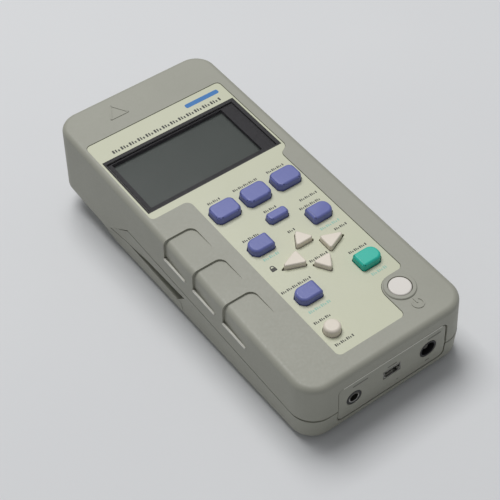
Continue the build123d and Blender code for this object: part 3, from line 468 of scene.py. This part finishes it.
dark_print = bmesh.new()
key_names = (
    (-9.6, 9.3, 5.7), (4.9, 9.1, 11.0), (19.5, 9.2, 7.6), (5.1, -7.2, 5.4), (21.0, -10.6, 7.9),
    (18.9, -14.3, 9.4), (-9.2, -14.6, 7.4), (5.2, -20.9, 3.2), (21.3, -30.4, 5.6), (5.1, -37.4, 7.7),
    (19.2, -42.9, 7.7), (-9.5, -43.2, 13.3), (-11.6, -61.2, 7.1), (-11.2, -73.2, 7.8))
for x, y, length in key_names:
    strokes(dark_print, x, y, length, width=1.2)
strokes(dark_print, -0.5, 55.9, length=52.4, width=1.9)
# A small closed lock stands beside the cursor keys.
patch(dark_print, -11.6, -32.4, low=ink_low, length=2.3, width=1.7, height=ink_height, corner=0.3)
raised_ring(dark_print, -11.6, -31.4, low=ink_low, radius=1.0, share=0.6, height=0.045, cut=2.0)
settle("dark_print", dark_print, ink_dark, "case", deck)
teal_print = bmesh.new()
second_names = ((18.4, -27.2, 8.2), (-8.8, -26.6, 6.4), (18.9, -56.0, 6.7), (-9.0, -56.2, 9.2))
for x, y, length in second_names:
    strokes(teal_print, x, y, length, width=1.3)
settle("teal_print", teal_print, ink_teal, "case", deck)
blue_print = bmesh.new()
patch(blue_print, 19.8, 60.4, low=ink_low, length=16.4, width=2.4, height=ink_height, corner=0.8)
settle("blue_print", blue_print, ink_blue, "case", deck)

# Case screws: four zinc-plated pan heads, driven up through wells in the lower case.
# They clamp the two shells together and are seen only from below. Zinc is a dull, cloudy grey.
zinc = plated("zinc plate", "#b4b4ae", grain=1.5 * MM, low=0.28, high=0.46)
case_screws = bmesh.new()
for x, y, depth in ((-28.2, -72.0, 24.0), (28.2, -72.0, 24.0), (-29.6, 66.0, 31.8), (29.6, 66.0, 31.8)):
    screw_head(case_screws, x, -y, low=depth, radius=2.4, height=1.6)
underside = deck @ Matrix.Rotation(math.radians(180), 4, "X")
settle("case_screws", case_screws, zinc, "case", underside)

# Tilt stand: a U-shaped bail of the same ABS, sprung into two pivot holes of the lower case.
# Its arms lie in the sides of the case and its bar lies across the bottom.
dress(case_abs, "tilt_stand")

# Feet: four strips of black rubber, stuck to the bottom.
# They are matt and a little dusty, and hold the meter on a bench.
foot_rubber = moulded_plastic("rubber black", "#2b2b2d", "#232325",
                              grain=0.8 * MM, roughness=0.75, relief=0.2)
dress(foot_rubber, "rubber_feet")

# Table: a pale seamless paper sheet that runs out of the picture on every side.
# It is faintly uneven in tone, as paper is.
sheet = bmesh.new()
bmesh.ops.create_grid(sheet, x_segments=2, y_segments=2, size=1.6)
table_mesh = bpy.data.meshes.new("table_sheet")
sheet.to_mesh(table_mesh)
sheet.free()
table = bpy.data.objects.new("table_sheet", table_mesh)
bpy.context.scene.collection.objects.link(table)
table_paper, tree, shader = surface("paper pale grey", Roughness=0.8)
place = add(tree, "TexCoord").outputs["Object"]
mottle = add(tree, "TexNoise", Vector=place, Scale=1 / (120 * MM), Detail=2.0)
tone = add(tree, "Mix", {"data_type": "RGBA"},
           _0=mottle.outputs["Fac"], _6=linear("#dbdcde"), _7=linear("#e0e1e2"))
tree.links.new(tone.outputs[2], shader.inputs["Base Color"])
table_mesh.materials.append(table_paper)

# Light: a pale room and one large soft lamp high above, a little beyond the meter.
# The face is lit most, the left wall less and the near end least.
room = bpy.data.worlds.new("room")
room.use_nodes = True
glow = room.node_tree.nodes["Background"]
glow.inputs["Color"].default_value = linear("#f3f5f8")
glow.inputs["Strength"].default_value = 0.275
bpy.context.scene.world = room
lamp_data = bpy.data.lights.new("soft_box", "AREA")
lamp_data.shape = "RECTANGLE"
lamp_data.size = 0.95
lamp_data.size_y = 0.95
lamp_data.energy = 20.3
lamp = bpy.data.objects.new("soft_box", lamp_data)
lamp.location = (0.1, 0.55, 1.6)
middle_of_meter = Vector((0, 0, 0.02))
lamp.rotation_euler = (middle_of_meter - lamp.location).to_track_quat("-Z", "Y").to_euler()
bpy.context.scene.collection.objects.link(lamp)

# Camera: from the near left, looking down at the face.
# Its place and lens are those of the photograph.
camera_data = bpy.data.cameras.new("camera")
camera_data.lens = 90.44
camera_data.sensor_width = 36.0
camera_data.clip_start = 0.01
camera = bpy.data.objects.new("camera", camera_data)
camera.location = (-184.84 * MM, -301.50 * MM, 369.98 * MM)
camera.rotation_euler = (math.radians(44.320), math.radians(4.128), math.radians(-35.723))
bpy.context.scene.collection.objects.link(camera)
bpy.context.scene.camera = camera

bpy.context.scene.view_settings.view_transform = "Standard"
